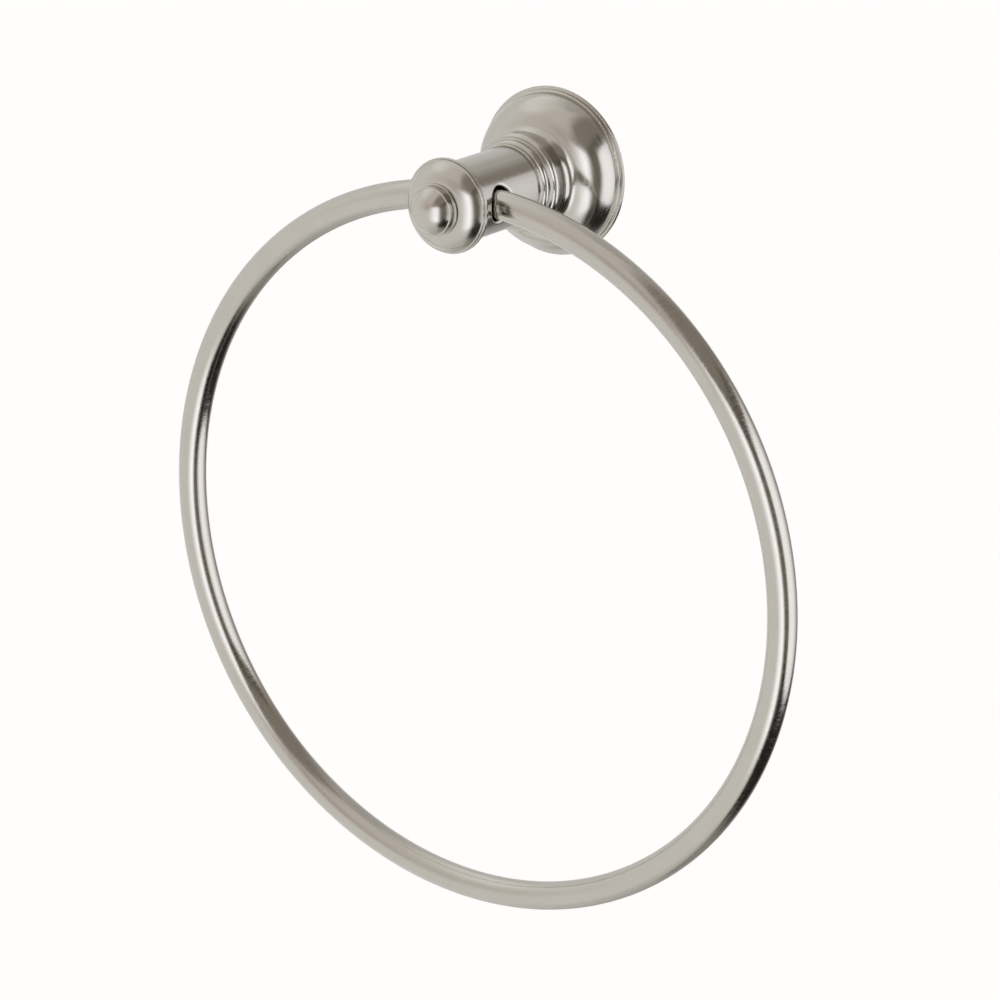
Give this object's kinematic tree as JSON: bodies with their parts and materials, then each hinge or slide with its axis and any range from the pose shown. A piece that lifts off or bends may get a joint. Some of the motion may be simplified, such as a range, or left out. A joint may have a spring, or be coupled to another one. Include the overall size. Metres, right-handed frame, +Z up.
{
  "type": "hand towel holder",
  "caption": "Wall-mounted towel ring: a round bar bent to a full circle swings in a knobbed, turned post on a bell-shaped flange.",
  "frame": {"origin": "on the wall, at the middle of the flange and of the wall plate's back face", "axes": "+Y into the wall, the post along -Y, +Z up, +X to the right seen from the front"},
  "size_m": [0.208, 0.0603, 0.2271],
  "materials": {
    "brushed_nickel": "brushed nickel plate on brass",
    "cast_zinc": "plain zinc casting",
    "screw_steel": "plain stainless steel"
  },
  "bodies": {
    "holder": {"flange": "brushed_nickel", "post": "brushed_nickel", "wall_plate": "cast_zinc", "set_screw": "screw_steel", "split_washer": "screw_steel", "post_screw": "screw_steel"},
    "ring": {"ring": "brushed_nickel"}
  },
  "joints": [
    {"name": "ring_swing", "type": "hinge", "parent": "holder", "child": "ring", "pos_m": [0, -0.0389, 0], "axis": [-1, 0, 0], "range_deg": [-10, 190]}
  ]
}
